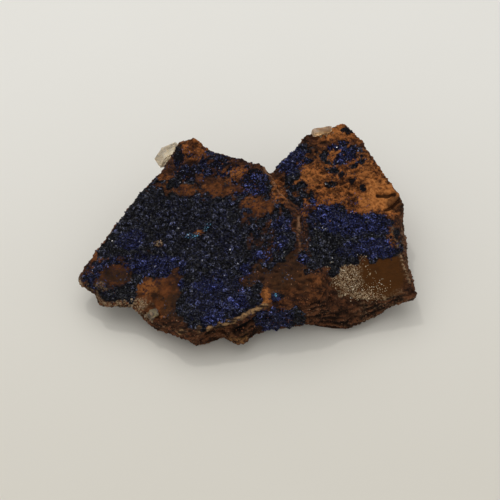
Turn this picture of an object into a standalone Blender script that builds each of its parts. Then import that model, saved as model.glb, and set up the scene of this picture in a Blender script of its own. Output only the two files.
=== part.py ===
"""A hand specimen of azurite: a broken slab of limonite that carries crusts of azurite crystals.

The slab lies on its underside. Its upper face is two beds with a ledge between them, tilted
down to the front. X runs along the slab, Y to the back and Z up. Lengths are in millimetres
until an object is made, where MM turns them into metres.
"""

import math
import random

import bmesh
import bpy
from mathutils import Matrix, Vector, noise
from mathutils.geometry import delaunay_2d_cdt

MM = 0.001
UP = Vector((0, 0, 1))

# The slab
GRAIN = 2.15  # distance between neighbouring points of the rock's surface
GRAIN_JITTER = 0.25  # how far a point strays from its place in the grid, as a share of that
GRAIN_CLEAR = 0.62  # how close a point comes to the rim or the ledge, as a share of it
CENTRE = Vector((0.0, -2.0))  # the walls lean in and out along rays from here
LIP_DROP = 1.7  # height of the broken edge just under the rim
LOWEST_BELLY = 2.6  # the walls bulge most at this height or above it
FOOT_RISE = 1.0  # height of the worn edge round the resting face
FOOT_TUCK = 0.03  # how far that edge draws in to the resting face, as a share of its reach
FACE_RELIEF = 0.55  # how far lumps stand in and out on the upper face
RIM_RELIEF = 0.45  # the same on the rim, seen from above
WALL_RELIEF = 0.9  # the same on the broken walls
LIP_CALM = 0.4  # the share of that which is left on the lip
CHIP = 7.0  # width of the broken facets on the walls
FACE_CHIP = 5.0  # width of the facets on the upper face

# The slab's outline from above, anticlockwise
FRONT_EDGE = [
    (-46, -13), (-39, -19), (-32, -20), (-26, -24), (-19, -29), (-16, -31), (-6, -28), (0, -25),
    (10, -24), (19, -22), (28, -20), (36, -19),
]  # fmt: skip
RIGHT_EDGE = [(45, -17), (43, -12), (41, -3), (40, 3), (42, 8), (39, 14), (34, 21)]
BACK_EDGE = [
    (31, 27), (26, 32), (21, 30), (16, 28), (13, 25), (8, 21), (5, 16), (-5, 20), (-11, 22),
    (-14, 25), (-16, 26), (-20, 25), (-24, 18), (-32, 9), (-38, 0), (-44, -8),
]  # fmt: skip
OUTLINE = FRONT_EDGE + RIGHT_EDGE + BACK_EDGE

# The planes that the upper face is broken along: height over the middle, rise to +X and to +Y
LEFT_BED = (18.5, 0.12, 0.22)
RIGHT_BED = (17.3, -0.05, 0.20)
FRONT_SLOPE = (23.3, 0.05, 0.42)
CLEAN_FACET = (20.4, -0.12, 0.33)
FACET_PLACE = (35.0, -13.0, 10.0, 8.0)  # where that facet is smooth: centre and half-widths
FACET_SMOOTH = 0.8  # the share of the relief that it lacks
SLOPE_FROM = -8.0  # the front slope reaches from here to the right
FACET_FROM = 20.0  # and the clean facet from here

# Swells and hollows of the upper face: height, centre and half-widths
SWELLS = [
    (-2.0, -26.0, -22.5, 9.5, 9.0),  # the scoop
    (-0.9, -36.5, -13.5, 7.0, 4.0),  # the dimple on the left tip
    (1.4, -16.0, 24.0, 6.5, 5.5),  # the knob
    (0.9, -10.0, -3.0, 22.0, 14.0),  # the left bed is a little crowned
    (0.8, 30.0, 12.0, 9.0, 8.0),  # and so is the right one
]

# The ledge between the left bed, above, and the right bed, below, from back to front
LEDGE_RUN = 1.5  # width of its steep face
LEDGE_FADE = 7.0  # how much wider that is at the front, where the ledge dies out
LEDGE = [(2, 21), (8, 8), (13, 2), (13, -5), (15, -12), (20, -25)]

# Beside the ledge the right bed rises to a crest
CREST = (12.6, 11.5)  # a point of the crest's line
CREST_LEAN = 0.21  # how far it leans to +X, for each millimetre to the back
CREST_FALL = 0.45  # how steeply the bed falls from it to the ledge

# Folds at the right bed's far edge
FOLD_PITCH = 4.2
FOLD_HEIGHT = 0.5
FOLD_PLACE = (38.0, 9.0, 6.0, 9.0)  # centre and half-widths

# The crusts
GAP = 0.3  # clear distance between a crust or crystal and the rock
FRAY = 1.1  # how far a crust's edge wanders
STEEPEST = 0.6  # crusts keep off rock that faces their way less than this, 1 being squarely
AZURITE_BED = 0.65  # thickness of an azurite crust below its crystals
AZURITE_TIP = 1.0  # height of its crystals
QUARTZ_BED = 0.4
QUARTZ_TIP = 0.5
BED_SWELL = 0.5  # how much thicker or thinner a bed is in places, as a share
TIP_RANGE = (0.35, 1.25)  # the lowest and the highest crystals, as shares of a crust's tip
TIP_LEAN = 0.35  # how far their tips stray sideways

# Where each azurite crust covers the upper face: lobes with a centre, a half-length, a
# half-width and a turn from X in degrees
AZURITE_LOBES = {
    "azurite_druse_left": [
        (-27, 0, 17, 11, 53), (-12, -3, 16, 11, -15), (3, -4, 10, 8, 0), (-8, -20, 10, 11, 0),
        (-37, -13, 8, 7, 0),
    ],
    "azurite_band_back": [(-11, 18, 9, 3, 0), (0, 12, 7, 4, -30)],
    "azurite_patch_notch": [(10, 18, 8, 4, 45)],
    "azurite_belt_right": [
        (22, -3, 9, 8, 0), (33, -2, 8, 6, -10), (17, -9, 3, 4, 0), (21, -11, 3, 3, 0),
    ],
    "azurite_patch_ledge": [(13, 9, 5, 3, -25)],
    "azurite_spot_peak": [(27, 21, 5, 3, 40), (24, 22, 3, 2, 0)],
}  # fmt: skip
QUARTZ_LOBES = [(26, -14, 6, 5, 0), (31, -16, 6, 3, 0)]
FRONT_LOBES = [(8, 7, 6, 5, 0)]  # on the front wall, seen from the front
FRONT_WAY = Vector((0, -0.95, 0.3))  # the way in which that crust grows

# The rosette: its centre, the reach of its crystals' feet and of their tips, and the way in
# which it stands clear of the rock
ROSETTE_CENTRE = (7.0, -21.5, 14.0)
ROSETTE_CORE = 1.5
ROSETTE_TIPS = (1.1, 1.4)  # as shares of the core
ROSETTE_CLEAR = (0.0, 0.0, 0.4)

# The calcite crystals: centre, size, turn in degrees, and the way in which each stands clear
CALCITE_CRYSTALS = {
    "calcite_crystal_back": ((-23.0, 25.0, 16.0), (6.0, 4.0, 5.5), 40, (-0.33, 0.37, 0.0)),
    "calcite_ridge_peak": ((20.0, 28.3, 22.4), (6.0, 2.0, 2.4), 20, (-0.1, 0.25, 0.4)),
    "calcite_bud_front": ((-26.0, -23.5, 9.0), (3.0, 3.0, 3.0), 30, (-0.1, -0.3, 0.4)),
}  # fmt: skip


def smooth(low, high, value):
    """0 below low, 1 above high, and a smooth rise between them."""
    t = min(1.0, max(0.0, (value - low) / (high - low)))
    return t * t * (3 - 2 * t)


def dome(x, y, cx, cy, rx, ry):
    """1 at the centre of an ellipse, falling smoothly to 0 at its edge."""
    return smooth(1.0, 0.0, math.hypot((x - cx) / rx, (y - cy) / ry))


def lower(a, b, blend=1.2):
    """The lower of two heights, rounded where they cross."""
    h = max(blend - abs(a - b), 0.0) / blend
    return min(a, b) - h * h * blend / 4


def beyond_line(x, y, line):
    """Distance to a line of points: above 0 on the left of someone who walks along it."""
    here = Vector((x, y))
    best = None
    for a, b in zip(line, line[1:]):
        start, along = Vector(a), Vector(b) - Vector(a)
        t = min(1.0, max(0.0, (here - start).dot(along) / along.length_squared))
        off = here - start - along * t
        side = along.x * off.y - along.y * off.x
        if best is None or off.length < abs(best):
            best = math.copysign(off.length, side)
    return best


def plane(x, y, middle, rise_x, rise_y):
    """Height of a tilted plane."""
    return middle + rise_x * x + rise_y * y


def face_height(x, y):
    """Height of the upper face, without its fine roughness."""
    left_bed = plane(x, y, *LEFT_BED)
    right_bed = plane(x, y, *RIGHT_BED)
    crest_x = CREST[0] + CREST_LEAN * (y - CREST[1])
    right_bed -= CREST_FALL * max(0.0, crest_x - x) * smooth(6, 12, y)
    run = LEDGE_RUN + LEDGE_FADE * smooth(-5, -16, y)
    z = left_bed + (right_bed - left_bed) * smooth(0, run, beyond_line(x, y, LEDGE))
    if x > SLOPE_FROM:
        z = lower(z, plane(x, y, *FRONT_SLOPE))
    if x > FACET_FROM:
        z = lower(z, plane(x, y, *CLEAN_FACET), 0.6)
    for height, *place in SWELLS:
        z += height * dome(x, y, *place)
    folds = math.sin((y - 0.35 * x) * 2 * math.pi / FOLD_PITCH)
    return z + FOLD_HEIGHT * folds * dome(x, y, *FOLD_PLACE)


def calm(x, y):
    """1 on rough rock, less on the clean facet at the right."""
    return 1.0 - FACET_SMOOTH * dome(x, y, *FACET_PLACE)


def lumps(place):
    """Rounded lumps and hollows, from about -1 to 1."""
    return 0.9 * noise.noise(place / 6.5) + 0.6 * noise.noise(place / 2.3)


def wander(place):
    """A smooth drift in three directions, each from about -1 to 1."""
    return Vector(noise.noise(place + UP * start) for start in (0, 20, 40))


def chips(place, size):
    """Flat broken facets about size across, each tilted its own way, from about -1 to 1."""
    cell = noise.voronoi(place / size)[1][0]
    tilt = 2 * noise.cell_vector(cell * 7.3) - Vector((1, 1, 1))
    return tilt.dot(place / size - cell) + tilt.x * 0.6


def face_relief(x, y, z):
    """How far the upper face stands out of its smooth form."""
    place = Vector((x, y, z))
    return FACE_RELIEF * calm(x, y) * (lumps(place) + 0.45 * chips(place, FACE_CHIP))


def spread(points, step):
    """A closed line of points, filled in so that none are further apart than step."""
    filled = []
    for a, b in zip(points, points[1:] + points[:1]):
        pieces = max(1, math.ceil(math.dist(a[:2], b[:2]) / step))
        for i in range(pieces):
            filled.append(tuple(p + (q - p) * i / pieces for p, q in zip(a, b)))
    return filled


def inside(x, y, outline):
    """True where the point is inside a closed outline."""
    found = False
    for (ax, ay), (bx, by) in zip(outline, outline[1:] + outline[:1]):
        if (ay > y) != (by > y) and x < ax + (bx - ax) * (y - ay) / (by - ay):
            found = not found
    return found


def covered(x, y, lobes):
    """True where the point is inside one of the lobes."""
    for cx, cy, half_length, half_width, turn in lobes:
        along = Vector((math.cos(math.radians(turn)), math.sin(math.radians(turn))))
        off = Vector((x - cx, y - cy))
        if math.hypot(off.dot(along) / half_length, off.cross(along) / half_width) < 1:
            return True
    return False


def broken_rim():
    """The slab's outline as closely spaced points, each pushed off its straight run."""
    rim = []
    for x, y in spread(OUTLINE, GRAIN):
        out = (Vector((x, y)) - CENTRE).normalized()
        rim.append(Vector((x, y)) + out * RIM_RELIEF * lumps(Vector((x, y, 30))))
    return rim


def wall_shape(x, y):
    """Reach of the wall's belly and foot, as shares of the rim's, and the belly's height."""
    left_tip = smooth(-22, -46, x)
    right_tip = smooth(36, 45, x) * smooth(2, -16, y)
    right_wall = dome(x, y, 40, -2, 9, 15)
    front_wall = dome(x, y, 25, -21, 15, 9)
    recess = dome(x, y, -9, -30, 12, 8)  # under the thin plate at the front
    chunk = dome(x, y, -1, -27, 8, 8)  # a lump at the recess's right end
    belly = 1.01 + 0.07 * right_wall + 0.10 * front_wall - 0.15 * recess + 0.20 * chunk
    foot = 0.93 - 0.31 * left_tip - 0.16 * right_tip + 0.16 * front_wall + 0.14 * chunk
    share = 0.52 + 0.18 * left_tip + 0.18 * right_tip - 0.12 * front_wall - 0.25 * chunk
    drift = wander(Vector((x, y, 50)) / 8)
    return belly + 0.04 * drift.x, foot + 0.05 * drift.y, share + 0.12 * drift.z


def wall_profile(belly, foot, share, top):
    """The wall from its lip to its foot, as reaches (shares of the rim's) and heights."""
    lip_z = top - LIP_DROP
    belly_z = max(LOWEST_BELLY, top * share)
    lip = 1.012 + 0.325 * (belly - 1)
    shoulder = 1 + 0.75 * (belly - 1)
    tuck = 0.015 + 0.45 * belly + 0.55 * foot
    return [
        (lip, lip_z),
        (shoulder, 0.45 * lip_z + 0.55 * belly_z),
        (belly, belly_z),
        (tuck, 0.3 + 0.5 * belly_z),
        (foot, FOOT_RISE),
    ]


def wall_rings(rim):
    """The rings of points down the wall, from the rim to the resting face."""
    columns = []
    for x, y in rim:
        out = Vector((x, y)) - CENTRE
        belly, foot, share = wall_shape(x, y)
        top = face_height(x, y)
        column = [Vector((x, y, top + face_relief(x, y, top)))]
        for row, (reach, z) in enumerate(wall_profile(belly, foot, share, top)):
            place = (CENTRE + out * reach).to_3d() + UP * z
            push = WALL_RELIEF * (1.1 * chips(place, CHIP) + 0.5 * lumps(place))
            push *= LIP_CALM if row == 0 else 1.0
            column.append(place + out.normalized().to_3d() * push)
        column.append((CENTRE + out * (foot - FOOT_TUCK)).to_3d())
        columns.append(column)
    return [list(ring) for ring in zip(*columns)]


def face_points(rim):
    """Points and fixed edges of the upper face in plan: the rim, the ledge and a jittered grid."""
    rng = random.Random(3)
    clear = GRAIN * GRAIN_CLEAR
    outline = [tuple(place) for place in rim]
    points = list(outline)
    edges = [(i, (i + 1) % len(outline)) for i in range(len(outline))]
    for offset in (0.0, LEDGE_RUN):
        line = []
        for (ax, ay), (bx, by) in zip(LEDGE, LEDGE[1:]):
            along = Vector((bx - ax, by - ay)).normalized()
            pieces = max(1, round(math.dist((ax, ay), (bx, by)) / GRAIN))
            for i in range(pieces):
                x = ax + (bx - ax) * i / pieces - along.y * offset
                y = ay + (by - ay) * i / pieces + along.x * offset
                if inside(x, y, outline) and min(math.dist((x, y), p) for p in outline) > clear:
                    line.append((x, y))
        edges += [(len(points) + i, len(points) + i + 1) for i in range(len(line) - 1)]
        points += line
    fixed = list(points)
    low, high = ([pick(axis) for axis in zip(*outline)] for pick in (min, max))
    row_step = GRAIN * math.sqrt(3) / 2
    for row in range(math.floor(low[1] / row_step), math.ceil(high[1] / row_step)):
        for column in range(math.floor(low[0] / GRAIN), math.ceil(high[0] / GRAIN)):
            stray = [rng.uniform(-GRAIN_JITTER, GRAIN_JITTER) * GRAIN for _ in "xy"]
            x = (column + 0.5 * (row % 2)) * GRAIN + stray[0]
            y = row * row_step + stray[1]
            if inside(x, y, outline) and min(math.dist((x, y), p) for p in fixed) > clear:
                points.append((x, y))
    return [Vector(p) for p in points], edges


def add_face(mesh, rim_verts):
    """Fills the rim with the upper face. Returns its faces."""
    plan, edges = face_points([v.co.xy for v in rim_verts])
    coords, _, faces, origins, _, _ = delaunay_2d_cdt(plan, edges, [], 1, 1e-5)
    verts = []
    for (x, y), origin in zip(coords, origins):
        on_rim = [i for i in origin if i < len(rim_verts)]
        if on_rim:
            verts.append(rim_verts[on_rim[0]])
            continue
        z = face_height(x, y)
        verts.append(mesh.verts.new((x, y, z + face_relief(x, y, z))))
    return [mesh.faces.new([verts[i] for i in face]) for face in faces]


def new_object(name, mesh, material):
    """Makes an object of a mesh in millimetres."""
    bmesh.ops.scale(mesh, vec=(MM, MM, MM), verts=mesh.verts)
    data = bpy.data.meshes.new(name)
    mesh.to_mesh(data)
    mesh.free()
    data.materials.append(material)
    made = bpy.data.objects.new(name, data)
    bpy.context.scene.collection.objects.link(made)
    return made


def build_rock():
    """The slab's mesh, the faces of its upper face, and its walls' faces in rings."""
    mesh = bmesh.new()
    rings = [[mesh.verts.new(place) for place in ring] for ring in wall_rings(broken_rim())]
    face = add_face(mesh, rings[0])
    wall = []
    for upper, under in zip(rings, rings[1:]):
        for i, corner in enumerate(upper):
            j = (i + 1) % len(upper)
            wall.append(mesh.faces.new((corner, under[i], under[j])))
            wall.append(mesh.faces.new((corner, under[j], upper[j])))
    mesh.faces.new(list(reversed(rings[-1])))
    mesh.faces.index_update()
    mesh.normal_update()
    return mesh, face, wall


def sheet_of(faces, way, wanted, taken):
    """The faces that are wanted, as one sheet that meets no steep face and no earlier sheet."""
    steep = {f for f in faces if f.normal.dot(way.normalized()) < STEEPEST}
    barred = taken | {v for f in steep for v in f.verts}
    chosen = {f for f in faces if wanted(f) and not barred.intersection(f.verts)}
    while True:
        # a point where two corners of the sheet meet would pinch the crust
        pinched = [
            v
            for v in {v for f in chosen for v in f.verts}
            if sum(len(chosen.intersection(e.link_faces)) == 1 for e in v.link_edges) > 2
        ]
        if not pinched:
            break
        chosen -= {f for v in pinched for f in v.link_faces}
    sheets = []
    while chosen:
        sheet, reached = set(), [chosen.pop()]
        while reached:
            face = reached.pop()
            sheet.add(face)
            near = {f for e in face.edges for f in e.link_faces} & chosen
            chosen -= near
            reached.extend(near)
        sheets.append(sheet)
    sheet = max(sheets, key=len)
    taken.update(v for f in sheet for v in f.verts)
    return sorted(sheet, key=lambda f: f.index)


def frayed(lobes, across="xy"):
    """A test for faces inside the lobes, whose edges it frays, looking along one axis."""

    def test(face):
        a, b = getattr(face.calc_center_median(), across)
        fray_a = FRAY * noise.noise(Vector((a, b, 3)) / 2.6)
        fray_b = FRAY * noise.noise(Vector((a, b, 9)) / 2.6)
        return covered(a + fray_a, b + fray_b, lobes)

    return test


def grow_crust(name, sheet, lift, bed, tip, material):
    """A crust on a sheet of the rock's faces: a bed, and on it one pointed crystal a face."""
    rng = random.Random(name)
    mesh = bmesh.new()
    low, high = {}, {}
    for vert in dict.fromkeys(v for f in sheet for v in f.verts):
        swell = 1.0 + BED_SWELL * noise.noise(vert.co / 4.0)
        low[vert] = mesh.verts.new(vert.co + lift * GAP)
        high[vert] = mesh.verts.new(vert.co + lift * (GAP + bed * swell))
    members = set(sheet)
    crowns = []
    for face in sheet:
        mesh.faces.new([low[v] for v in reversed(face.verts)])
        crowns.append(mesh.faces.new([high[v] for v in face.verts]))
        for loop in face.loops:
            if len(members.intersection(loop.edge.link_faces)) == 1:
                a, b = loop.vert, loop.link_loop_next.vert
                mesh.faces.new((high[a], low[a], low[b], high[b]))
    tips = bmesh.ops.poke(mesh, faces=crowns)["verts"]
    for vert in tips:
        lean = Vector((rng.uniform(-1, 1), rng.uniform(-1, 1), 0)) * TIP_LEAN
        vert.co += lift * tip * rng.uniform(*TIP_RANGE) + lean
    return new_object(name, mesh, material)


def fit_to_rock(crystal, rock, way):
    """Cuts a crystal to the rock, moved by way so that a clear gap is left."""
    cutter = bpy.data.objects.new(crystal.name + "_seat", rock.data)
    cutter.location = way * MM
    cutter.hide_render = True
    cutter.display_type = "WIRE"
    bpy.context.scene.collection.objects.link(cutter)
    cut = crystal.modifiers.new("seat", "BOOLEAN")
    cut.operation = "DIFFERENCE"
    cut.object = cutter


def cleaved_crystal(name, centre, size, turn, material):
    """A calcite cleavage: a leaning box whose edges are a little broken."""
    mesh = bmesh.new()
    bmesh.ops.create_cube(mesh, size=1)
    lean = Matrix.Shear("XY", 4, (0.22, 0.12))
    place = Matrix.Translation(centre) @ Matrix.Rotation(math.radians(turn), 4, (0.3, 0.5, 1))
    bmesh.ops.bevel(mesh, geom=mesh.edges[:], offset=0.13, segments=1, affect="EDGES")
    for vert in mesh.verts:
        vert.co += 0.05 * wander(vert.co * 3 + centre)
    bmesh.ops.delete(mesh, geom=mesh.edges[:], context="EDGES_FACES")
    bmesh.ops.transform(mesh, matrix=place @ lean @ Matrix.Diagonal((*size, 1)), verts=mesh.verts)
    bmesh.ops.convex_hull(mesh, input=mesh.verts[:])
    buried = [v for v in mesh.verts if not v.link_faces]
    bmesh.ops.delete(mesh, geom=buried, context="VERTS")
    bmesh.ops.recalc_face_normals(mesh, faces=mesh.faces)
    return new_object(name, mesh, material)


def rosette(name, centre, material):
    """A ball of azurite crystals that grew from one point."""
    rng = random.Random(name)
    mesh = bmesh.new()
    bmesh.ops.create_icosphere(mesh, subdivisions=2, radius=ROSETTE_CORE)
    tips = bmesh.ops.poke(mesh, faces=mesh.faces[:])["verts"]
    for vert in tips:
        vert.co *= rng.uniform(*ROSETTE_TIPS)
    bmesh.ops.translate(mesh, vec=centre, verts=mesh.verts)
    return new_object(name, mesh, material)


def new_material(name, colour, rough, clear=0.0):
    made = bpy.data.materials.new(name)
    made.use_nodes = True
    shader = made.node_tree.nodes["Principled BSDF"]
    shader.inputs["Base Color"].default_value = (*colour, 1)
    shader.inputs["Roughness"].default_value = rough
    shader.inputs["Transmission Weight"].default_value = clear
    return made


def centre_on_base(rock):
    """Moves every mesh so that the slab's bounding box stands centred over the origin."""
    low, high = (Vector(pick(axis) for axis in zip(*rock.bound_box)) for pick in (min, max))
    shift = -(low + high) / 2
    shift.z = 0
    for data in bpy.data.meshes:
        data.transform(Matrix.Translation(shift))


def main():
    for old in list(bpy.data.objects):
        bpy.data.objects.remove(old, do_unlink=True)
    limonite = new_material("limonite", (0.23, 0.10, 0.035), 0.85)
    azurite = new_material("azurite", (0.012, 0.022, 0.11), 0.3)
    quartz = new_material("quartz", (0.45, 0.40, 0.30), 0.4)
    calcite = new_material("calcite", (0.80, 0.74, 0.60), 0.15, clear=0.8)

    mesh, face, wall = build_rock()
    taken = set()
    for name, lobes in AZURITE_LOBES.items():
        sheet = sheet_of(face, UP, frayed(lobes), taken)
        grow_crust(name, sheet, UP, AZURITE_BED, AZURITE_TIP, azurite)
    sheet = sheet_of(face, UP, frayed(QUARTZ_LOBES), taken)
    grow_crust("quartz_crust", sheet, UP, QUARTZ_BED, QUARTZ_TIP, quartz)

    sheet = sheet_of(wall, FRONT_WAY, frayed(FRONT_LOBES, "xz"), taken)
    grow_crust("azurite_crust_front", sheet, FRONT_WAY, AZURITE_BED, AZURITE_TIP, azurite)

    rock = new_object("limonite_slab", mesh, limonite)
    ball = rosette("azurite_rosette", Vector(ROSETTE_CENTRE), azurite)
    fit_to_rock(ball, rock, Vector(ROSETTE_CLEAR))
    for name, (centre, size, turn, clear) in CALCITE_CRYSTALS.items():
        crystal = cleaved_crystal(name, Vector(centre), size, turn, calcite)
        fit_to_rock(crystal, rock, Vector(clear))
    bpy.context.view_layer.update()
    centre_on_base(rock)


main()
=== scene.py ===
import math

import bpy
import numpy as np
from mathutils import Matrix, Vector, noise
from mathutils.bvhtree import BVHTree


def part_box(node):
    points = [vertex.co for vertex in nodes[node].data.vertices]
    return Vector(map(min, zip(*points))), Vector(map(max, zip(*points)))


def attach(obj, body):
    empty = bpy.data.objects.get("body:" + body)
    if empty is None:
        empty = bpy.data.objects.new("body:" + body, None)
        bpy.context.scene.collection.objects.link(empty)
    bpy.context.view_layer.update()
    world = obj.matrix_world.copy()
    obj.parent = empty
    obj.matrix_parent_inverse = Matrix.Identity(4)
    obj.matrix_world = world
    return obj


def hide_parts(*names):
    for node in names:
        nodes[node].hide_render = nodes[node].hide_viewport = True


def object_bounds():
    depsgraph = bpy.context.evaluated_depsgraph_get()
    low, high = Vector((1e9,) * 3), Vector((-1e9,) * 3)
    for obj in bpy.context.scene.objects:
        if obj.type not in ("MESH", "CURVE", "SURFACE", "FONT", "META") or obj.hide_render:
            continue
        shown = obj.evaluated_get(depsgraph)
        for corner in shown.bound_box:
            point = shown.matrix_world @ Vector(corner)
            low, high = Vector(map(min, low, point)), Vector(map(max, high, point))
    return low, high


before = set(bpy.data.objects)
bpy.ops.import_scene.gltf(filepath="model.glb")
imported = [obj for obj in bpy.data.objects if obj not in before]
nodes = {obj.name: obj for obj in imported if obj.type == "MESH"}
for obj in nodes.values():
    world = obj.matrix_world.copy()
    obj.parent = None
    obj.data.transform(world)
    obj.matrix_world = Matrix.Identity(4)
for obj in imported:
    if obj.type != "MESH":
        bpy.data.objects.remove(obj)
cad_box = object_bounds()
MM = 0.001

# ---------------------------------------------------------------------------------------------
# The table and the light. The specimen lies on a pale sheet, painted darker and warmer towards
# the front as shade where the light falls off, under a wide window behind it, a small bulb that
# makes the crystals glint, and an even room.


def paint(red, green, blue):
    """A colour as the eye names it, 0 to 255 each, turned into the linear one that nodes use."""
    share = [c / 255 for c in (red, green, blue)]
    return tuple(c / 12.92 if c <= 0.04045 else ((c + 0.055) / 1.055) ** 2.4 for c in share) + (1,)


class Socket:
    """An output of a material's nodes. Arithmetic on it adds the Math nodes."""

    def __init__(self, finish, output):
        self.finish, self.output = finish, output

    def math(self, operation, first, second=0.0, clamp=False):
        settings = {"operation": operation, "use_clamp": clamp}
        return self.finish.node("ShaderNodeMath", settings, {0: first, 1: second})

    def __add__(self, other):
        return self.math("ADD", self, other)

    def __sub__(self, other):
        return self.math("SUBTRACT", self, other)

    def __rsub__(self, other):
        return self.math("SUBTRACT", other, self)

    def __mul__(self, other):
        return self.math("MULTIPLY", self, other)

    __radd__ = __add__
    __rmul__ = __mul__

    def clipped(self):
        return self.math("ADD", self, 0.0, clamp=True)

    def between(self, low, high):
        """0 below low, 1 above high, with a smooth rise."""
        settings = {"interpolation_type": "SMOOTHSTEP"}
        sockets = {"Value": self, "From Min": low, "From Max": high}
        return self.finish.node("ShaderNodeMapRange", settings, sockets)


class Finish:
    """A material, with one method that adds any node to it."""

    def __init__(self, name):
        self.material = bpy.data.materials.new(name)
        self.material.use_nodes = True
        self.tree = self.material.node_tree
        self.shader = self.tree.nodes["Principled BSDF"]
        self.place = self.node("ShaderNodeTexCoord", {}, {}, "Object")

    def feed(self, socket, value):
        if isinstance(value, Socket):
            self.tree.links.new(value.output, socket)
        else:
            socket.default_value = value

    def node(self, kind, settings, sockets, output=0):
        made = self.tree.nodes.new(kind)
        for name, value in settings.items():
            setattr(made, name, value)
        for name, value in sockets.items():
            self.feed(made.inputs[name], value)
        return Socket(self, made.outputs[output])

    def set(self, **sockets):
        for name, value in sockets.items():
            self.feed(self.shader.inputs[name.replace("_", " ")], value)

    def noise(self, size, detail=3.0, rough=0.55, place=None):
        """Cloudy noise from 0 to 1 whose largest lumps are size millimetres across."""
        sockets = {"Vector": place or self.place, "Scale": 1 / (size * MM), "Detail": detail}
        return self.node("ShaderNodeTexNoise", {}, sockets | {"Roughness": rough})

    def drawn_out(self, angle, stretch):
        """Coordinates along which a pattern runs long, by its angle in degrees and its stretch."""
        turned = {"Vector": self.place, "Rotation": (0, 0, math.radians(angle))}
        return self.node("ShaderNodeMapping", {}, turned | {"Scale": (1 / stretch, 1, 1)})

    def mix(self, share, first, second):
        """A colour between two, by a share from 0 to 1."""
        settings = {"data_type": "RGBA", "clamp_factor": True}
        return self.node("ShaderNodeMix", settings, {0: share, 6: first, 7: second}, 2)

    def attribute(self, name):
        """A number kept on the mesh's points."""
        return self.node("ShaderNodeAttribute", {"attribute_name": name}, {}, "Fac")

    def bump(self, height, depth):
        """Fine relief, depth millimetres from its lowest to its highest point."""
        self.set(Normal=self.node("ShaderNodeBump", {}, {"Height": height, "Distance": depth * MM}))


TABLE_WIDTH = 3.0
TABLE_SHADING = 0.10  # from this far in front of the specimen to as far behind it
bpy.ops.mesh.primitive_plane_add(size=TABLE_WIDTH)
table = bpy.context.object
table.name = "table"
sheet = Finish("pale_sheet")
towards_back = sheet.node("ShaderNodeSeparateXYZ", {}, {"Vector": sheet.place}, "Y")
# Painted shade: the sheet is painted darker and warmer towards the front, standing in for the light
# falling off, with a little random tone
painted_falloff = towards_back.between(-TABLE_SHADING, TABLE_SHADING)
painted_falloff_and_tone = (painted_falloff * 0.9 + sheet.noise(40, 2.0) * 0.1).clipped()
sheet.set(Base_Color=sheet.mix(painted_falloff_and_tone, paint(219, 216, 207), paint(235, 235, 232)), Roughness=0.7)
table.data.materials.append(sheet.material)


def lamp(name, place, width, watts, colour):
    """A square lamp that faces the specimen."""
    bpy.ops.object.light_add(type="AREA", location=place)
    made = bpy.context.object
    made.name = name
    made.data.size = width
    made.data.energy = watts
    made.data.color = colour
    made.rotation_euler = (-Vector(place)).to_track_quat("-Z", "Y").to_euler()


lamp("window", (-0.22, 0.45, 1.10), width=1.4, watts=5.8, colour=(1.0, 0.99, 0.97))
lamp("bulb", (-0.25, 0.45, 1.10), width=0.06, watts=1.4, colour=(1.0, 0.97, 0.92))

ROOM_STRENGTH = 0.56
room = bpy.data.worlds.new("room")
room.use_nodes = True
room.node_tree.nodes["Background"].inputs["Color"].default_value = (1.0, 0.98, 0.94, 1)
room.node_tree.nodes["Background"].inputs["Strength"].default_value = ROOM_STRENGTH
bpy.context.scene.world = room
bpy.context.scene.view_settings.view_transform = "Standard"

CAMERA_AIM = Vector((0.8, -3.8, 9.8)) * MM
CAMERA_DISTANCE = 0.45
CAMERA_ELEVATION = math.radians(55.5)
CAMERA_LENS = 117.8
CAMERA_NEAR = 0.01
outward = Vector((0, -math.cos(CAMERA_ELEVATION), math.sin(CAMERA_ELEVATION)))
bpy.ops.object.camera_add(location=CAMERA_AIM + outward * CAMERA_DISTANCE)
camera = bpy.context.object
camera.rotation_euler = (-outward).to_track_quat("-Z", "Y").to_euler()
camera.data.lens = CAMERA_LENS
camera.data.clip_start = CAMERA_NEAR
bpy.context.scene.camera = camera

# ---------------------------------------------------------------------------------------------
# The stone: a broken slab of limonite. It is weathered in two beds, foliated and ochre to the
# right, stained brown to the left, granular on its broken walls, with a smooth cleaved facet.
# Where a crust of azurite grew, the rock itself swells into the crust's bed and is stained dark.


def only(piece):
    """Selects one object alone and makes it the active one."""
    bpy.ops.object.select_all(action="DESELECT")
    piece.select_set(True)
    bpy.context.view_layer.objects.active = piece


SAME_POINT = 0.001 * MM


def copy_of(node, name):
    """A copy of a solid's mesh as a new object, with its loose triangles merged."""
    piece = bpy.data.objects.new(name, nodes[node].data.copy())
    bpy.context.scene.collection.objects.link(piece)
    piece.data.materials.clear()
    only(piece)
    bpy.ops.object.mode_set(mode="EDIT")
    bpy.ops.mesh.select_all(action="SELECT")
    bpy.ops.mesh.remove_doubles(threshold=SAME_POINT)
    bpy.ops.object.mode_set(mode="OBJECT")
    return piece


def modify(piece, kind, **settings):
    """Adds a modifier to a piece and applies it."""
    made = piece.modifiers.new(kind, kind)
    for name, value in settings.items():
        setattr(made, name, value)
    only(piece)
    bpy.ops.object.modifier_apply(modifier=made.name)


def points_of(piece, what="co"):
    """The places of a mesh's points in millimetres, or their normals."""
    found = np.empty(len(piece.data.vertices) * 3)
    piece.data.vertices.foreach_get(what, found)
    return found.reshape(-1, 3) / (MM if what == "co" else 1)


def shift_points(piece, points):
    piece.data.vertices.foreach_set("co", (points * MM).ravel())
    piece.data.update()


def keep(piece, name, values):
    """Stores a number for each point of a mesh."""
    made = piece.data.attributes.new(name, "FLOAT", "POINT")
    made.data.foreach_set("value", np.asarray(values, np.float32))


def rise(low, high, values):
    """0 at low, 1 at high, and a smooth rise between them; low may be the larger one."""
    t = np.clip((values - low) / (high - low), 0, 1)
    return t * t * (3 - 2 * t)


LUMP_STRIDE, PEBBLE_STRIDE = 17.3, 9.7  # how far apart in the noise two seeds lie
PEBBLE_SLOPE = 1.6


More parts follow.
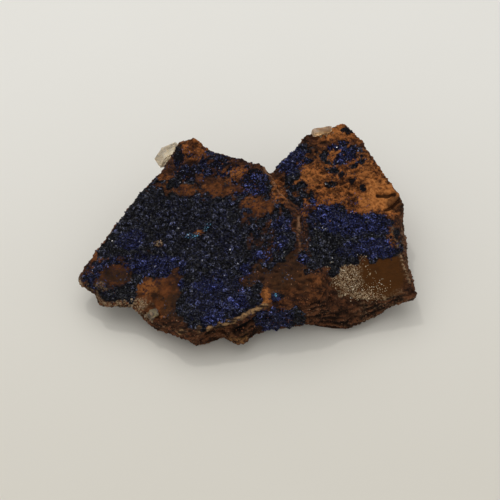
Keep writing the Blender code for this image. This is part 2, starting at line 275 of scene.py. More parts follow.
def lumps(points, size, seed=0, stretch=(1, 1, 1)):
    """Smooth noise at each point, about -1 to 1."""
    scaled = points / (np.array(stretch) * size) + seed * LUMP_STRIDE
    return np.array([noise.noise(Vector(p)) for p in scaled])


def pebbles(points, size, seed=0):
    """1 in the middle of each rounded grain, falling to about 0 in the joints between them."""
    scaled = points / size + seed * PEBBLE_STRIDE
    near = np.array([noise.voronoi(Vector(p))[0][:2] for p in scaled])
    return np.clip((near[:, 1] - near[:, 0]) * PEBBLE_SLOPE, 0, 1)


def ridges(points, size, seed, stretch):
    """1 along thin crests, falling to about -1 in the hollows between them."""
    return 1 - 4 * np.abs(lumps(points, size, seed, stretch))


FULL, FADED = 0.75, 1.15  # an ellipse is full and faded out at these shares of its half-widths


def patches(points, zones, fray=0.35, size=2.2, seed=1):
    """How much each point lies in frayed ellipses, seen from above: middle, half-widths, amount."""
    wander = fray * (lumps(points, size, seed) + 0.6 * lumps(points, size / 2.4, seed + 1))
    found = np.zeros(len(points))
    for x, y, half_x, half_y, amount in zones:
        off = np.hypot((points[:, 0] - x) / half_x, (points[:, 1] - y) / half_y)
        found = np.maximum(found, amount * rise(FADED, FULL, off + wander))
    return found


def along(points, line, half_width, wander=0.3, seed=51):
    """1 near a line of points, in plan or in space, and 0 from its half-width away."""
    flat = points[:, : len(line[0])]
    best = np.full(len(points), np.inf)
    for a, b in zip(line, line[1:]):
        start, run = np.array(a, float), np.subtract(b, a)
        t = np.clip((flat - start) @ run / (run @ run), 0, 1)
        best = np.minimum(best, np.linalg.norm(flat - start - t[:, None] * run, axis=1))
    strays = wander * half_width * lumps(points, 1.3, seed)
    return rise(half_width, 0.25 * half_width, best + strays)


# Zones of the weathered rock, seen from above: tones from bright ochre to dark brown patches that
# are painted shade in the scoop, the left tip's dimple, under the peak, on the front slope and by
# the grooves, with some dark stain; smooth ground without flakes, the cleaved facet, and pale
# stone with the stain worn off
OCHRE = [
    (28, 12, 16, 14, 1.0), (18, 14, 6, 7, 0.8), (25, 28, 7, 4, 0.9),  # the right bed and its peak
    (-17, 10, 4, 2, 0.6), (-7, 10, 5, 2, 0.6), (-3, 14, 4, 2, 0.8), (1, 5, 3, 2, 0.6),
    (4, 3, 3, 2, 0.5), (-13, -3, 1.5, 1.5, 0.7),  # bare places in the left bed's azurite
    (-14, 22, 5, 4, 0.8), (-23, 13, 3, 3, 0.5),  # the knob and the back edge
    (-40, -7, 3, 6, 0.8), (-26, -18, 6, 5, 0.35), (-23, -22, 4, 3, 0.6),  # left tip and scoop
    (11, -21, 10, 4, 0.2), (4, -21, 2, 3, 0.8), (17, -17, 4, 3, 0.35),  # the front slope
    (9, 9, 3, 6, 0.8), (39, -4, 2, 3, 0.8),
]
BRIGHT = [
    (37, 9, 5, 5, 1.0), (34, 7, 4, 3, 0.8), (17, 14, 4, 3, 0.5), (23, 29, 5, 3, 0.7),
    (25, 22, 2, 2, 0.8), (33, 17, 2, 5, 0.4), (-3, 14, 3, 1, 0.4),
    (-27, -17, 3, 2, 0.3), (5, -22, 2, 2, 0.6), (-13, -3, 1, 1, 0.4),
]
# Painted shade, partly dark stain: dark brown patches in the scoop, the left tip's dimple, below
# the peak, on the front slope and round the grooves
SHADE_AND_STAIN = [
    (20, 21, 6, 3, 0.3), (-18, -23, 4, 5, 0.9), (-35, -13, 6, 2, 0.8), (10, -15, 9, 6, 0.8),
    (41, 7, 3, 2, 0.8), (1, -17, 5, 4, 0.6), (-30, -8, 4, 2, 0.3),
]
SMOOTH = [
    (-24, -19, 7, 5, 1.0), (-41, -8, 3, 3, 0.8), (-35, -13, 5, 3, 0.9), (-17, 10, 4, 2, 0.8),
    (-7, 10, 5, 2, 0.8), (3, 4, 5, 3, 0.8), (-3, 14, 3, 2, 0.6), (13, -18, 7, 4, 0.4),
    (36, 9, 5, 4, 1.0),
]
FACET = [(36, -13, 7, 8, 1.0), (28, -14, 6, 6, 0.7)]
PALE = [
    (-31, -21, 5, 2, 1.0), (-24, -5, 1.5, 1.5, 0.9), (27, -14, 4, 5, 0.6), (32, -19, 6, 1, 0.8),
    (34, -22, 4, 2, 0.2), (44, -4, 2, 9, 0.3), (41, -19, 4, 2, 0.2), (-42, -17, 5, 2, 0.7),
]

# Edges, rims and grooves, as lines in plan or in space
CREST = [(3, 18), (6, 14), (8, 9), (12, 4), (14, 1), (14, -6), (15, -12)]
PLATE_EDGE = [(-20, -30, 9), (-9, -29, 10), (-2, -27, 12), (5, -24, 13)]
CREVICE = [(-9, -29, 7), (-3, -30, 9), (2, -27, 10), (6, -26, 10)]
SIDE_RIM = [(39, 2), (41, -5), (43, -12), (44, -15)]
TIP_RIM = [(-46, -13), (-41, -19), (-34, -21), (-29, -21)]
CHUNK_FACE = [(-5, -30, 5), (-1, -30, 6)]
GROOVES = [[(36, 9), (39, 9), (41, 10)], [(38, 5), (40, 6), (42, 8)]]

# Bare rock inside the crusts, and where a crust is broken up into tufts
BARE = [
    (-17, 10, 4, 2, 0.8), (-7, 10, 4, 2, 0.8), (-2, 14, 3, 2, 0.8), (-14, 22, 4, 3, 0.6),
    (-13, -3, 1.5, 1, 0.9), (-24, -5, 1.5, 1, 0.8), (-36, -13, 5, 3, 0.9), (1, 5, 3, 2, 0.9),
    (4, 3, 3, 2, 0.9), (-26, -17, 4, 3, 0.9), (1, -17, 3, 2, 0.8),
]
BROKEN = [
    (-8, 14, 19, 7, 1.0), (3, 2, 6, 6, 0.8), (26, 20, 11, 8, 1.0), (15, 6, 5, 5, 0.7),
    (-38, -12, 8, 6, 0.6), (4, -8, 5, 6, 0.6), (28, 2, 14, 7, 0.1), (41, -2, 3, 6, 0.7),
]
CLUMPS = [  # tufts of azurite that stand alone
    (24, 23, 2, 1, 1.0), (27, 25, 2, 1, 1.0), (28, 21, 3, 2, 1.0), (30, 23, 2, 1, 0.9),
    (26, 15, 1, 1, 1.0), (23, 12, 2, 1, 1.0), (29, 13, 1, 1, 0.9), (32, 11, 1, 1, 0.9),
    (28, 29, 2, 1, 1.0),
    (16, -13, 1.5, 1, 1.0), (16, -16, 1, 1, 0.9), (0, -14, 1.5, 1, 0.9), (8, -22, 2, 1, 0.8),
    (2, 12, 4, 3, 1.0), (-19, 20, 1.5, 3, 0.9), (-17, 15, 4, 2, 0.8), (-8, 17, 4, 1, 0.8),
]

CRUSTS = {  # each crust's solid and the kind of its azurite
    "azurite_druse_left": "azurite_dark", "azurite_band_back": "azurite_blue",
    "azurite_patch_notch": "azurite_blue", "azurite_patch_ledge": "azurite_blue",
    "azurite_belt_right": "azurite_blue", "azurite_spot_peak": "azurite_blue",
    "azurite_crust_front": "azurite_dark",
}
FARTHEST = 6.0


def distance_to(points, node):
    """How far each point is from a solid, in millimetres, up to FARTHEST."""
    mesh = nodes[node].data
    corners = [v.co / MM for v in mesh.vertices]
    tree = BVHTree.FromPolygons(corners, [p.vertices[:] for p in mesh.polygons])
    return np.array([tree.find_nearest(Vector(p), FARTHEST)[3] or FARTHEST for p in points])


SLANT = np.array([[0.94, -0.34, 0], [0.34, 0.94, 0], [0, 0, 1]])  # the way flakes and lumps run


def lumpy_bed(points):
    """How high the azurite's bed stands: 1 on its lumps, 0 in the hollows between them."""
    slanted = points @ SLANT.T
    clusters = rise(-0.4, 0.25, lumps(slanted, 1.2, 73, (2, 1, 1)))
    clusters = clusters * rise(-0.8, 0.2, lumps(slanted, 3.5, 29))
    return pebbles(slanted, 1.9, 5) * clusters


# The solid's mesh made fine and even, and where on it each zone lies
STONE_VOXEL = 0.375 * MM
stone = copy_of("limonite_slab", "limonite_stone")
modify(stone, "SUBSURF", levels=1, render_levels=1)
modify(stone, "REMESH", mode="VOXEL", voxel_size=STONE_VOXEL)
ground = points_of(stone)
facing = points_of(stone, "normal")
up = facing[:, 2]
upper = rise(0.25, 0.6, up) * rise(2.5, 6.0, ground[:, 2])
wall = 1 - upper
ochre = patches(ground, OCHRE, seed=1) * upper
bright = patches(ground, BRIGHT, 0.45, 1.8, 3) * upper
shade_and_stain = patches(ground, SHADE_AND_STAIN, 0.45, seed=5) * upper
smooth = patches(ground, SMOOTH, 0.3, 2.0, 13) * upper
facet = patches(ground, FACET, 0.16, 3.0, seed=7) * upper
pale = patches(ground, PALE, 0.5, 1.6, seed=9)
plate = along(ground, PLATE_EDGE, 1.1, 0.8) * rise(-0.2, 0.2, up)
crevice = along(ground, CREVICE, 1.5)
chunk = along(ground, CHUNK_FACE, 2.4)
rim = along(ground, TIP_RIM, 1.4) * rise(0.7, 0.3, up) * rise(-0.3, 0.2, up)
pale = np.max([pale, rim, 0.7 * along(ground, SIDE_RIM, 0.6, 0.5)], axis=0)
crest = along(ground, CREST, 0.5, 0.9) * rise(-0.4, 0.1, lumps(ground, 1.9, 14))
grooves = np.max([along(ground, line, 0.8, 0.4) for line in GROOVES], axis=0) * upper

bare = patches(ground, BARE, 0.3, seed=11)
tufts = rise(-0.10, 0.18, lumps(ground, 2.3, 31) + 0.6 * lumps(ground, 1.0, 33))
broken = patches(ground, BROKEN, 0.3, seed=35)
wander = 0.6 * lumps(ground, 3.2, 4) + 0.5 * lumps(ground, 1.2, 6)
crusts, nearest = {}, np.full(len(ground), FARTHEST)
for node in CRUSTS:
    away = distance_to(ground, node)
    nearest = np.minimum(nearest, away)
    share = rise(1.4, 0.5, away + wander) * (1 - broken * (1 - tufts))
    crusts[node] = share * (1 - bare) * (1 - plate)
crust = np.max(list(crusts.values()), axis=0)
dust = rise(4.5, 0.8, nearest + 3 * wander) * upper * (1 - facet)

# The relief, with its depths in millimetres
SWELL, RIPPLE, GRAIN, LAYER, TOP_GRAIN = 0.35, 0.18, 0.4, 0.45, 0.3
FLAKE, OCHRE_FLAKE = 0.26, 0.16
BED, BUD, BED_SWELL, BED_SUNK = 1.4, 0.3, 0.5, 0.5
CREST_HIGH, PLATE_HIGH, CHUNK_HIGH, CREVICE_DEEP, GROOVE_DEEP = 0.2, 0.5, 0.3, 1.2, 1.0
slanted = ground @ SLANT.T
flakes = 0.55 * ridges(slanted, 1.4, 25, (1.8, 1, 1)) + 0.45 * ridges(slanted, 0.8, 26, (1.6, 1, 1))
druse = lumpy_bed(ground)
buds = pebbles(ground, 1.15, 6)
grains = pebbles(ground, 1.1, 2)
layers = lumps(ground, 0.9, 27, (4, 4, 0.9))
rough = (1 - 0.95 * facet) * (1 - 0.6 * bright) * rise(0.0, 1.2, ground[:, 2])
fine_relief = wall * (1 - plate) * (GRAIN * (grains - 0.5) + LAYER * layers)
flaky = upper * (1 - crust) * (1 - 0.85 * smooth)
fine_relief += flaky * ((FLAKE + OCHRE_FLAKE * ochre) * flakes + TOP_GRAIN * (grains - 0.5))
fine_relief += RIPPLE * lumps(ground, 1.1, 23)
relief = rough * (SWELL * lumps(ground, 2.6, 21) + fine_relief)
bed = crust * np.maximum(rise(0.1, 0.5, up), crusts["azurite_crust_front"])  # none overhangs a wall
relief += bed * (BED * druse + BUD * buds + BED_SWELL * lumps(ground, 4.0, 29) - BED_SUNK)
relief += (
    CREST_HIGH * crest
    + PLATE_HIGH * plate
    - CREVICE_DEEP * crevice
    + CHUNK_HIGH * chunk
    - GROOVE_DEEP * grooves
)
ground = ground + facing * relief[:, None]
MARGIN = 0.02  # how far inside the solids' box the stone stays
low, high = (np.array(corner) / MM for corner in cad_box)
ground = np.clip(ground, low + (MARGIN, MARGIN, 0), high - MARGIN)
shift_points(stone, ground)
clumps = patches(ground, CLUMPS, 0.3, 1.4, 15) * upper
zones = {
    "ochre": ochre, "bright": bright, "shade_and_stain": shade_and_stain, "facet": facet, "pale": pale, "plate": plate,
    "crevice": crevice, "chunk": chunk, "crest": crest, "grooves": grooves, "dust": dust,
    "upper": upper, "smooth": smooth, "crust": np.maximum(crust, clumps),
    # painted shade in the hollows between the crust bed's lumps
    "painted_hollow_shade": crust * (1 - druse),
    # painted shade in the pits of the bare rock's relief
    "painted_pit_shade": rough * (1 - crust) * rise(0.0, -0.35, fine_relief),
    "seam": wall * rise(0.0, -0.3, layers),
}
for name, values in zones.items():
    keep(stone, name, values)
only(stone)
bpy.ops.object.shade_smooth()

# The rock's colours, each laid over those before it where its own zone is; some of them are
# painted shade, in the crust's hollows, the crevice, the pits, the grooves and the dark brown
# patches
lime = Finish("limonite_rock")
speck = lime.noise(0.55, 2.0)
cloud = lime.noise(2.6, 4.0)
veins = lime.noise(1.5, 5.0, 0.75, lime.drawn_out(-10, 1.6))
fine = lime.noise(0.7, 3.0, 0.65)
wall_tone = lime.mix(cloud.between(0.38, 0.60), paint(40, 26, 18), paint(114, 72, 48))
wall_tone = lime.mix(speck.between(0.58, 0.70) * 0.8, wall_tone, paint(166, 128, 98))
top_tone = lime.mix(veins.between(0.42, 0.6), paint(46, 29, 21), paint(100, 62, 40))
ochre_tone = lime.mix(veins.between(0.40, 0.58), paint(82, 46, 24), paint(178, 108, 56))
ochre_tone = lime.mix(fine.between(0.52, 0.64) * 0.9, ochre_tone, paint(50, 28, 18))
ochre_tone = lime.mix(speck.between(0.62, 0.72) * 0.7, ochre_tone, paint(206, 142, 82))
bright_tone = lime.mix(fine.between(0.4, 0.65), paint(202, 130, 70), paint(146, 85, 40))
streaks = lime.noise(0.8, 3.0, 0.6, lime.drawn_out(-14, 5))
plate_tone = lime.mix(streaks.between(0.40, 0.58), paint(52, 38, 27), paint(170, 134, 94))
soft_tone = lime.mix(cloud.between(0.36, 0.64), paint(46, 29, 18), paint(118, 68, 36))
shade_and_stain_tone = lime.mix(fine, paint(38, 26, 17), paint(80, 55, 35))
facet_tone = lime.mix(veins, paint(54, 30, 6), paint(94, 54, 14))
chunk_tone = lime.mix(fine.between(0.4, 0.6), paint(150, 108, 66), paint(70, 44, 28))
# Painted shade, near black, in the crust bed's hollows and in the crevice under the plate edge
painted_recess_shade = (lime.attribute("painted_hollow_shade") * 0.8 + lime.attribute("crevice")).clipped()
tone = wall_tone
for share, over in (
    (lime.attribute("upper"), top_tone),
    (lime.attribute("ochre"), ochre_tone),
    (lime.attribute("smooth") * 0.75, soft_tone),
    (lime.attribute("bright") * veins.between(0.30, 0.52), bright_tone),
    # painted shade and dark stain in the dark brown patches
    (lime.attribute("shade_and_stain") * 0.8, shade_and_stain_tone),
    (lime.attribute("facet"), facet_tone),
    (lime.attribute("pale") * speck.between(0.44, 0.60), paint(176, 150, 118)),
    (lime.attribute("plate"), plate_tone),
    (lime.attribute("chunk"), chunk_tone),
    (lime.attribute("crest") * 0.7, paint(176, 132, 100)),
    (lime.attribute("dust") * fine.between(0.48, 0.60) * 0.6, paint(26, 24, 38)),
    (lime.attribute("crust").between(0.3, 0.7), paint(16, 14, 20)),
    # painted shade in the pits of the relief
    (lime.attribute("painted_pit_shade") * 0.75, paint(26, 15, 10)),
    (lime.attribute("seam") * 0.8, paint(24, 13, 8)),
    # painted shade in the grooves
    (lime.attribute("grooves").between(0.2, 0.7) * 0.9, paint(58, 33, 17)),
    (painted_recess_shade, paint(10, 8, 10)),
):
    tone = lime.mix(share, tone, over)
lime.set(Base_Color=tone, Roughness=0.85 - 0.35 * lime.attribute("facet"), Specular_IOR_Level=0.1)
lime.bump(lime.noise(0.5, 4.0, 0.75), 0.6)
stone.data.materials.append(lime.material)
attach(stone, "root")
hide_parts("limonite_slab")

# ---------------------------------------------------------------------------------------------
# The azurite: thousands of small tabular crystals with chisel ends, close together on their bed.
# Each crust is one piece. They are near black where they are thick and blue where they are thin,
# painted lighter on the bed's lumps and darker in its hollows as light and shade, with painted
# glints.

CRYSTAL_SPACING = 0.29
HABIT = {"widths": (0.28, 0.60), "lengths": (0.18, 0.42), "tilt": 0.45, "flat": (0.45, 0.9)}


def model_of(made):
    """The points and triangles of a modelled object, which is then removed."""
    shape = np.array([made.matrix_world @ v.co for v in made.data.vertices])
    faces = np.array([p.vertices[:] for p in made.data.polygons])
    bpy.data.objects.remove(made)
    return shape, faces


def crystal_model():
    """One crystal, a millimetre long: a four-sided prism whose end slopes up to a short edge."""
    bpy.ops.object.select_all(action="DESELECT")
    stands = {"location": (0, 0, 0.35), "rotation": (0, 0, math.pi / 4)}
    bpy.ops.mesh.primitive_cylinder_add(vertices=4, radius=0.5, depth=0.7, **stands)
    made = bpy.context.object
    for face in made.data.polygons:
        face.select = face.normal.z > 0.9
    bpy.ops.object.mode_set(mode="EDIT")
    bpy.ops.mesh.select_mode(type="FACE")
    bpy.ops.mesh.extrude_region_move(TRANSFORM_OT_translate={"value": (0.05, 0, 0.3)})
    bpy.ops.transform.resize(value=(0.55, 0.04, 1), center_override=(0.05, 0, 1.0))
    bpy.ops.mesh.select_all(action="SELECT")
    bpy.ops.mesh.remove_doubles(threshold=0.06)
    bpy.ops.mesh.quads_convert_to_tris()
    bpy.ops.object.mode_set(mode="OBJECT")
    return model_of(made)


NEGLIGIBLE = 0.02  # faces of less weight get nothing
TRIES = 4  # points tried for each square of the spacing


def strewn(piece, weight, spacing, seed):
    """Points spread over a mesh at least spacing apart, kept with the chance that weight gives."""
    rng = np.random.default_rng(seed)
    mesh = piece.data
    mesh.calc_loop_triangles()
    corners = np.empty(len(mesh.loop_triangles) * 3, int)
    mesh.loop_triangles.foreach_get("vertices", corners)
    corners = corners.reshape(-1, 3)
    corners = corners[weight[corners].max(axis=1) > NEGLIGIBLE]
    places, normals = points_of(piece), points_of(piece, "normal")
    a, b, c = (places[corners[:, k]] for k in range(3))
    areas = np.linalg.norm(np.cross(b - a, c - a), axis=1) / 2
    count = int(areas.sum() / spacing**2 * TRIES)
    pick = corners[rng.choice(len(corners), count, p=areas / areas.sum())]
    share = rng.dirichlet((1, 1, 1), count)
    spots, ways = (np.einsum("nk,nkj->nj", share, values[pick]) for values in (places, normals))
    wanted = rng.random(count) < np.einsum("nk,nk->n", share, weight[pick])
    around = [(i, j, k) for i in (-1, 0, 1) for j in (-1, 0, 1) for k in (-1, 0, 1)]
    taken, kept = {}, []
    for n, cell in enumerate(np.floor(spots / spacing).astype(int).tolist()):
        cells = ((cell[0] + i, cell[1] + j, cell[2] + k) for i, j, k in around)
        others = [other for key in cells for other in taken.get(key, ())]
        if others and ((spots[others] - spots[n]) ** 2).sum(axis=1).min() < spacing**2:
            continue
        taken.setdefault(tuple(cell), []).append(n)
        if wanted[n]:
            kept.append(n)
    return spots[kept], ways[kept] / np.linalg.norm(ways[kept], axis=1)[:, None]


def planted(name, model, spots, ways, widths, lengths, tilt, seed, sunk=0.25, flat=(0.6, 0.95)):
    """One mesh of many copies of a model, each standing on its spot, turned and tilted.

    A copy is sunk by a share of its length, and its thickness is a share of its width, flat.
    """
    rng = np.random.default_rng(seed)
    shape, faces = model
    count = len(spots)
    lean = ways + rng.normal(0, tilt, (count, 3))
    lean /= np.linalg.norm(lean, axis=1)[:, None]
    side = np.cross(lean, rng.normal(0, 1, (count, 3)))
    side /= np.linalg.norm(side, axis=1)[:, None]
    axes = np.stack([side, np.cross(lean, side), lean], axis=1)
    large = rng.uniform(0, 1, count) ** 2
    width = widths[0] + (widths[1] - widths[0]) * large
    length = (lengths[0] + (lengths[1] - lengths[0]) * large) * rng.uniform(0.75, 1.25, count)
    scale = np.stack([width, width * rng.uniform(*flat, count), length], axis=1)
    sized = (shape - (0, 0, sunk)) * scale[:, None]
    placed = spots[:, None] + np.einsum("nvk,nkj->nvj", sized, axes)
    placed[..., 2] = np.maximum(placed[..., 2], 0)  # nothing reaches under the table
    corners = faces + (np.arange(count) * len(shape))[:, None, None]
    mesh = bpy.data.meshes.new(name)
    mesh.from_pydata((placed.reshape(-1, 3) * MM).tolist(), [], corners.reshape(-1, 3).tolist())
    piece = bpy.data.objects.new(name, mesh)
    bpy.context.scene.collection.objects.link(piece)
    keep(piece, "grain", np.repeat(rng.uniform(0, 1, count), len(shape)))
    return piece


# Where the azurite shines blue: along the left druse's lower side, beside the notch, in the belt
BLUES = [
    (-8, -2, 26, 14, 0.15), (7, -26, 6, 4, 0.6),
    (-34, -10, 8, 3, 0.6), (-25, -11, 8, 3, 0.9), (-21, -14, 4, 3, 1.0), (-19, -17, 2, 2, 1.0),
    (-8, -21, 9, 7, 0.5), (-10, -18, 4, 2, 1.0), (-2, -23, 3, 2, 1.0), (-9, -27, 4, 2, 0.8),
    (0, -14, 2, 2, 1.0), (-32, -3, 4, 3, 0.8), (-40, -13, 6, 5, 0.5), (-5, -7, 4, 3, 0.3),
    (10, -2, 3, 3, 0.7), (4, -11, 3, 2, 0.9), (9, -7, 2, 3, 0.8), (1, 11, 5, 4, 1.0),
    (-10, 17, 13, 5, 0.5),
    (35, -6, 7, 3, 1.0), (28, -7, 4, 2, 0.6), (29, 1, 12, 4, 1.0), (20, 4, 6, 4, 0.9),
    (15, -12, 2, 2, 0.8), (27, 21, 4, 4, 0.9), (24, 24, 2, 2, 0.9), (27, 26, 2, 2, 0.9),
    (12, 20, 5, 5, 0.8), (23, 7, 3, 2, 0.6), (31, 7, 4, 2, 0.6),
]


def tinted(piece):
    """Keeps how blue each crystal is and how high it stands on its lump of the bed."""
    places = points_of(piece)
    keep(piece, "blue", patches(places, BLUES, 0.4, 1.6, 71) + 0.25 * lumps(places, 1.5, 72))
    keep(piece, "lump", lumpy_bed(places))


azurite = Finish("azurite_crystal")
pick = azurite.attribute("grain")
# Painted light and shade: crystals on the bed's lumps are lighter and those in its hollows darker;
# each crystal's lighter or darker tone stands in for glints, with some tone of its own
painted_lump_light = 0.1 + 0.9 * azurite.attribute("lump").between(0.05, 0.6)
painted_shade_and_glint = painted_lump_light * (0.2 + 0.8 * pick.between(0.2, 0.9))
# Painted glints: a few crystals painted near white as sparkles
painted_sparkle = painted_lump_light * pick.between(0.986, 0.994)
blue = (azurite.attribute("blue") + (pick - 0.5) * 0.25).clipped()
# the dark and the blue azurite, each from its painted shade to its painted light and glints
dark = azurite.mix(painted_shade_and_glint, paint(3, 3, 5), paint(120, 124, 146))
vivid = azurite.mix(painted_shade_and_glint, paint(15, 18, 62), paint(122, 136, 230))
tone = azurite.mix(painted_sparkle, azurite.mix(blue, dark, vivid), paint(214, 216, 228))
azurite.set(Base_Color=tone, Roughness=0.1 + 0.18 * pick, IOR=1.7, Specular_IOR_Level=0.25)

crystal = crystal_model()
open_top = np.maximum(rise(0.3, 0.6, up), along(ground, CREST, 6))
for number, (node, slot) in enumerate(CRUSTS.items()):
    weight = crusts[node] if node == "azurite_crust_front" else crusts[node] * open_top
    spots, ways = strewn(stone, weight, CRYSTAL_SPACING, seed=40 + number)
    piece = planted(node + "_crystals", crystal, spots, ways, seed=60 + number, **HABIT)
    tinted(piece)
    piece.data.materials.append(azurite.material)
    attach(piece, "root")
    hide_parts(node)

# Azurite strewn thinly between the crusts, as single crystals and small tufts on brown stone
STREWN = [
    (-10, 15, 15, 8, 0.75), (1, 11, 4, 3, 0.9), (-38, -14, 8, 5, 0.5), (4, 2, 6, 5, 0.6),
    (8, -13, 6, 4, 0.5), (15, -12, 2, 2, 1.0), (17, -15, 2, 2, 0.9), (32, 21, 1, 2, 0.5),
    (23, 7, 3, 2, 0.7), (31, 7, 4, 2, 0.6), (-22, -22, 3, 4, 0.3), (17, -4, 3, 8, 1.0),
    (16, 4, 4, 4, 0.9), (8, -22, 2, 2, 0.9), (11, -17, 2, 2, 0.5), (-1, -14, 4, 3, 0.5),
    (-30, 2, 4, 4, 0.5), (11, 17, 4, 5, 0.6), (39, -6, 3, 4, 0.5), (-21, -26, 2, 2, 0.6),
]
weight = patches(ground, STREWN, 0.4, 1.6, 15) * (1 - crust) * open_top
weight *= np.where(weight > 0.8, 1.0, tufts) * (1 - bare)
weight = np.maximum(weight, clumps * (1 - crust))
spots, ways = strewn(stone, weight, spacing=0.46, seed=90)
scatter = planted("azurite_scatter", crystal, spots, ways, seed=91, **HABIT)
tinted(scatter)
scatter.data.materials.append(azurite.material)
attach(scatter, "root")

# ---------------------------------------------------------------------------------------------
# The granular skin of the broken walls: rounded grains of iron-stained sand, fast in the stone.
# Finer grit lies over the upper faces between the crusts, tinted as the rock under it.


def grain_model():
    """A small rounded grain, a millimetre across and somewhat flat."""
    bpy.ops.object.select_all(action="DESELECT")
    bpy.ops.mesh.primitive_ico_sphere_add(subdivisions=1, radius=0.5)
    made = bpy.context.object
    bpy.ops.object.mode_set(mode="EDIT")
    bpy.ops.transform.resize(value=(1, 1, 0.8), center_override=(0, 0, 0))
    bpy.ops.object.mode_set(mode="OBJECT")
    return model_of(made)


grain = grain_model()
iron = Finish("iron_sand")
ripe = iron.attribute("grain")
grit = iron.mix(ripe.between(0.2, 0.8), paint(30, 18, 12), paint(124, 74, 50))
grit = iron.mix(ripe.between(0.94, 1.0), grit, paint(150, 118, 92))
warm = iron.mix(ripe, paint(74, 44, 28), paint(160, 104, 60))
grit = iron.mix(iron.attribute("ochre"), grit, warm)
iron.set(Base_Color=grit, Roughness=0.65, Specular_IOR_Level=0.15)
granular = wall * (1 - plate) * rise(0.6, 1.8, ground[:, 2])
granular = granular * rise(-0.35, 0.2, lumps(ground, 3.0, 37))
open_rock = (1 - crust) * upper * (1 - facet) * (1 - smooth) * (1 - plate)
fines = open_rock * rise(-0.3, 0.3, lumps(ground, 1.6, 38))
SANDS = {  # where each lies, its spacing, widths and lengths
    "limonite_grains": (granular, 0.55, (0.30, 0.75), (0.15, 0.40)),
    "limonite_grit": (0.7 * fines, 0.50, (0.20, 0.60), (0.20, 0.50)),
}
for number, (name, (weight, spacing, widths, lengths)) in enumerate(SANDS.items()):
    spots, ways = strewn(stone, weight, spacing, seed=100 + number)
    sand = planted(
        name, grain, spots, ways, widths, lengths, tilt=0.5, seed=104 + number, sunk=0.2
    )
    places = points_of(sand)
    keep(sand, "ochre", patches(places, OCHRE, seed=1) * rise(4, 7, places[:, 2]))
    sand.data.materials.append(iron.material)
    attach(sand, "root")

# ---------------------------------------------------------------------------------------------
# The quartz: a thin sugary crust of pale grains that half covers the smooth facet at the right.

SUGAR = [
    (25, -12, 4, 4, 0.7), (30, -18, 5, 2, 0.9), (28, -15, 4, 4, 0.9), (28, -9, 5, 1.5, 0.7),
]
quartz_lies = rise(1.4, 0.4, distance_to(ground, "quartz_crust"))
quartz_lies = quartz_lies * rise(-0.4, 0.1, lumps(ground, 1.5, 41))
sugary = np.maximum(0.4 * quartz_lies, patches(ground, SUGAR, 0.5, seed=43)) * upper * (1 - crust)
spots, ways = strewn(stone, sugary, spacing=0.32, seed=110)
sugar = planted(
    "quartz_sugar", grain, spots, ways,
    widths=(0.20, 0.58), lengths=(0.20, 0.50), tilt=0.6, seed=111, sunk=0.1,
)
quartz = Finish("sugar_quartz")
pure = quartz.attribute("grain")
cloudy = quartz.mix(pure.between(0.2, 0.7), paint(130, 110, 80), paint(202, 180, 146))
cloudy = quartz.mix(pure.between(0.85, 0.98), cloudy, paint(222, 212, 190))
quartz.set(Base_Color=cloudy, Roughness=0.45, Transmission_Weight=0.2, IOR=1.54)
sugar.data.materials.append(quartz.material)
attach(sugar, "root")
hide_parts("quartz_crust")

# ---------------------------------------------------------------------------------------------
# The calcite: clear cleaved crystals that stand on the stone's edges. Their faces are stepped
# where thin plates have split off.

CALCITES = {  # each crystal's size as a share of its solid, and how stained it is
    "calcite_crystal_back": (0.96, 0.0),
    "calcite_ridge_peak": (0.9, 0.5),
    "calcite_bud_front": (0.75, 1.0),
}
calcite = Finish("clear_calcite")
milk = calcite.noise(1.6, 3.0)
clear = calcite.mix(milk.between(0.35, 0.65), paint(255, 251, 238), paint(250, 240, 216))
honey = calcite.mix(milk.between(0.40, 0.60), paint(234, 204, 160), paint(200, 158, 110))
olive = calcite.mix(milk.between(0.40, 0.58), paint(176, 162, 118), paint(88, 66, 40))
stain = calcite.attribute("stain")
tone = calcite.mix(stain.between(0.0, 0.45), clear, honey)
tone = calcite.mix(stain.between(0.5, 0.9), tone, olive)
calcite.set(
    Base_Color=tone,
    Roughness=0.16 + 0.2 * milk + 0.2 * stain,
    Transmission_Weight=0.75,
    IOR=1.6,
    Specular_IOR_Level=0.3,
)
calcite.bump(calcite.noise(0.5, 3.0), 0.08)
absorbed = {"Color": paint(255, 232, 190), "Density": 80}
depth_tint = calcite.node("ShaderNodeVolumeAbsorption", {}, absorbed)
calcite.feed(calcite.tree.nodes["Material Output"].inputs["Volume"], depth_tint)
STEPS, SPLIT_DEPTH = 2.2, 0.22  # the steps in the full depth of a split, and that depth
STAIN_SLOPE = 0.06  # how much the stain grows with each millimetre towards the right
for node, (share, stained) in CALCITES.items():
    piece = copy_of(node, node.replace("calcite", "clear"))
    modify(piece, "SUBSURF", subdivision_type="SIMPLE", levels=3, render_levels=3)
    places, ways = points_of(piece), points_of(piece, "normal")
    steps = np.round(STEPS * lumps(places, 2.0, 45, (1, 1.6, 0.7))) / STEPS
    foot = places.mean(axis=0) - (0, 0, 0.3)
    split = ways * SPLIT_DEPTH * np.clip(steps, 0, 1)[:, None]
    places = foot + share * (places - foot) - split
    shift_points(piece, places)
    clouded = stained * rise(-1.2, 0.1, lumps(places, 1.2, 46))
    keep(piece, "stain", clouded + STAIN_SLOPE * (places - foot)[:, 0])
    piece.data.materials.append(calcite.material)
    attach(piece, "root")
    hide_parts(node)


def splinter_model():
    """A slanted block a millimetre across, as calcite cleaves."""
    bpy.ops.object.select_all(action="DESELECT")
    bpy.ops.mesh.primitive_cube_add(size=1)
    made = bpy.context.object
    bpy.ops.object.mode_set(mode="EDIT")
    bpy.ops.mesh.quads_convert_to_tris()
    bpy.ops.object.mode_set(mode="OBJECT")
    shape, faces = model_of(made)
    return shape + shape[:, 2:] * (0.4, 0.2, 0), faces


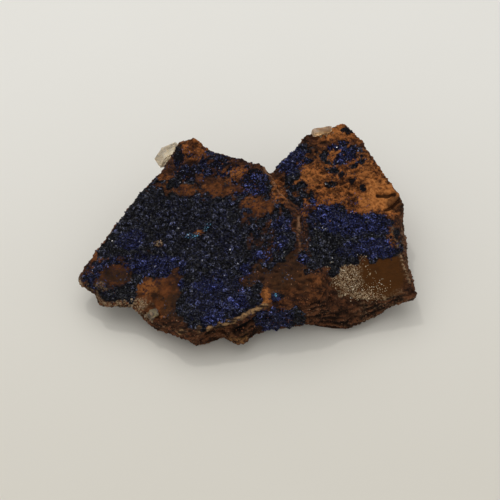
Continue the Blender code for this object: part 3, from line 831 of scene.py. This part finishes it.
# Splinters of the same calcite, caught along the slab's front left edge and its top rim
splinter = splinter_model()
SPLINTERED = [
    (-31, -21, 4, 1, 1.0), (-26, -24, 2, 1, 1.0), (21, 28, 4, 1.5, 0.8), (-24, -4, 1, 1, 0.4),
]
weight = patches(ground, SPLINTERED, 0.3, 1.4, 47) * rise(0, 0.3, up)
spots, ways = strewn(stone, weight, spacing=0.55, seed=120)
splinters = planted(
    "calcite_splinters", splinter, spots, ways,
    widths=(0.3, 0.9), lengths=(0.3, 0.7), tilt=0.6, seed=121, sunk=0.2,
)
keep(splinters, "stain", np.full(len(splinters.data.vertices), 0.5))
splinters.data.materials.append(calcite.material)
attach(splinters, "root")

# ---------------------------------------------------------------------------------------------
# The rosette on the front slope: a ball of azurite crystals round a green-blue heart.

PETALS = 80
BALL_RADIUS = 0.85
BALL_SUNK = 0.5
BALL_REACH = 1.15  # the petals climb down from the top to just below the ball's middle
GOLDEN_ANGLE = math.pi * (3 - math.sqrt(5))
low, high = (np.array(corner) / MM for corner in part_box("azurite_rosette"))
heart = (low + high) / 2 - (0, 0, BALL_SUNK)
turn = np.arange(PETALS) * GOLDEN_ANGLE
climb = 1 - BALL_REACH * (np.arange(PETALS) + 0.5) / PETALS
level = np.sqrt(1 - climb**2)
ways = np.column_stack([level * np.cos(turn), level * np.sin(turn), climb])
spots = heart + BALL_RADIUS * ways
rosette = planted(
    "azurite_rosette_crystals", crystal, spots, ways,
    widths=(0.35, 0.7), lengths=(0.55, 0.9), tilt=0.12, seed=130,
)
tinted(rosette)
rosette.data.materials.append(azurite.material)
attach(rosette, "root")
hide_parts("azurite_rosette")

# ---------------------------------------------------------------------------------------------
# The malachite: green-blue specks in the rosette's heart and in the dark druse.

SPECKS = [(-15, -4, 2, 1, 1.0), (-11, -2, 1, 1, 0.8)]
specked = patches(ground, SPECKS, 0.3, 1.2, 49)
spots, ways = strewn(stone, specked, spacing=0.46, seed=140)
bloom = np.array([(-0.3, -0.2, 1.5), (0.1, -0.4, 1.4), (0, 0.1, 1.6)])
spots = np.concatenate([spots, heart + bloom])
ways = np.concatenate([ways, bloom / np.linalg.norm(bloom, axis=1)[:, None]])
specks = planted(
    "malachite_specks", grain, spots, ways,
    widths=(0.3, 0.65), lengths=(0.3, 0.5), tilt=0.3, seed=141, sunk=0.0,
)
malachite = Finish("malachite_bloom")
green = malachite.mix(malachite.attribute("grain"), paint(16, 70, 110), paint(96, 172, 212))
malachite.set(Base_Color=green, Roughness=0.3)
specks.data.materials.append(malachite.material)
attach(specks, "root")
